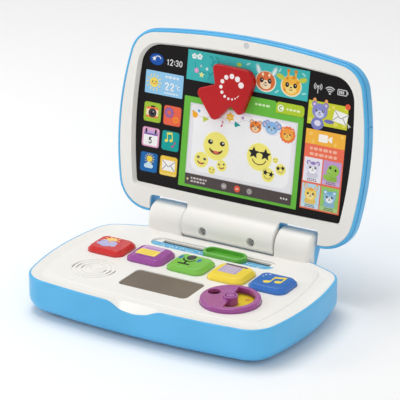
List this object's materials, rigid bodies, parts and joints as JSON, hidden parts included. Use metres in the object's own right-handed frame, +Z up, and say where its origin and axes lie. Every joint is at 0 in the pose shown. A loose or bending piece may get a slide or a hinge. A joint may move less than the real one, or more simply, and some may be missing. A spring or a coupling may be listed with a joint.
{
  "type": "toy laptop computer",
  "caption": "Toddler's toy laptop with hinged picture lid, turning arrow, picture keys, sliding ring, finger dial, touch pad and speaker grille.",
  "frame": {"origin": "centre of the bounding box, on the floor under the feet, with the lid open", "axes": "+X to the viewer's right across the case, +Y from the front edge to the hinge, +Z up"},
  "size_m": [0.2542, 0.2088, 0.2156],
  "materials": {
    "blue_shell": "satin gloss moulded blue",
    "white_shell": "satin warm white moulding",
    "key_red": "gloss red",
    "key_purple": "gloss purple",
    "key_green": "gloss green",
    "key_yellow": "gloss yellow",
    "key_blue": "gloss blue",
    "dial_purple": "gloss purple",
    "ring_green": "gloss green",
    "arrow_red": "gloss red",
    "panel_black": "gloss printed panel",
    "pad_taupe": "satin taupe",
    "label_blue": "printed paper label",
    "label_yellow": "printed paper label",
    "lens_white": "gloss",
    "inner_plastic": "plain moulding",
    "board_green": "printed circuit board",
    "rubber_grey": "soft silicone",
    "rubber_foot": "soft rubber",
    "cone_paper": "paper cone",
    "steel": "plated steel",
    "battery_can": "plain can"
  },
  "bodies": {
    "base": {"base_lower_shell": "blue_shell", "base_deck": "white_shell", "battery_door": "blue_shell", "battery_door_screw": "steel", "base_foot_1": "rubber_foot", "base_foot_2": "rubber_foot", "base_foot_3": "rubber_foot", "base_foot_4": "rubber_foot", "base_case_screws": "steel", "main_circuit_board": "board_green", "key_contact_board": "board_green", "key_contact_mat": "rubber_grey", "speaker_frame": "steel", "speaker_cone": "cone_paper", "speaker_magnet": "steel", "battery_1": "battery_can", "battery_2": "battery_can", "battery_contact_left": "steel", "battery_contact_right": "steel", "battery_box": "inner_plastic", "touchpad_plate": "pad_taupe", "slot_label": "label_blue", "slider_contact_board": "board_green", "dial_label": "label_yellow", "hinge_pin_left": "steel", "hinge_pin_right": "steel", "hinge_washer_left": "inner_plastic", "hinge_washer_right": "inner_plastic"},
    "lid": {"lid_bezel": "white_shell", "lid_back_shell": "blue_shell", "screen_panel": "panel_black", "screen_contact_board": "board_green", "webcam_lens": "lens_white", "barrel_screws": "steel", "lid_screws": "steel"},
    "slider": {"slider_ring": "ring_green", "slider_shoe": "ring_green"},
    "dial": {"dial_disc": "dial_purple", "dial_keeper": "dial_purple"},
    "arrow": {"cursor_arrow": "arrow_red", "cursor_keeper": "inner_plastic"},
    "key_red": {"key_red": "key_red"},
    "key_purple": {"key_purple": "key_purple"},
    "key_green": {"key_green": "key_green"},
    "key_yellow": {"key_yellow": "key_yellow"},
    "key_blue": {"key_blue": "key_blue"}
  },
  "joints": [
    {"name": "lid_hinge", "type": "hinge", "parent": "base", "child": "lid", "pos_m": [0, 0.06616, 0.043], "axis": [1, 0, 0], "range_deg": [0, 99.1]},
    {"name": "key_red_press", "type": "slide", "parent": "base", "child": "key_red", "axis": [0, 0, -1], "range_m": [0, 0.0022], "stiffness_N_per_m": 600, "springref_m": -0.001},
    {"name": "key_purple_press", "type": "slide", "parent": "base", "child": "key_purple", "axis": [0, 0, -1], "range_m": [0, 0.0022], "stiffness_N_per_m": 600, "springref_m": -0.001},
    {"name": "key_green_press", "type": "slide", "parent": "base", "child": "key_green", "axis": [0, 0, -1], "range_m": [0, 0.0022], "stiffness_N_per_m": 600, "springref_m": -0.001},
    {"name": "key_yellow_press", "type": "slide", "parent": "base", "child": "key_yellow", "axis": [0, 0, -1], "range_m": [0, 0.0022], "stiffness_N_per_m": 600, "springref_m": -0.001},
    {"name": "key_blue_press", "type": "slide", "parent": "base", "child": "key_blue", "axis": [0, 0, -1], "range_m": [0, 0.0022], "stiffness_N_per_m": 600, "springref_m": -0.001},
    {"name": "ring_slide", "type": "slide", "parent": "base", "child": "slider", "axis": [1, 0, 0], "range_m": [-0.05275, 0.02775]},
    {"name": "dial_turn", "type": "hinge", "parent": "base", "child": "dial", "pos_m": [0.0626, -0.05054, 0.0335], "axis": [0, 0, 1], "continuous": true},
    {"name": "arrow_turn", "type": "hinge", "parent": "lid", "child": "arrow", "pos_m": [-0.0128, 0.08098, 0.16631], "axis": [0, -0.9872, 0.1592], "continuous": true}
  ]
}
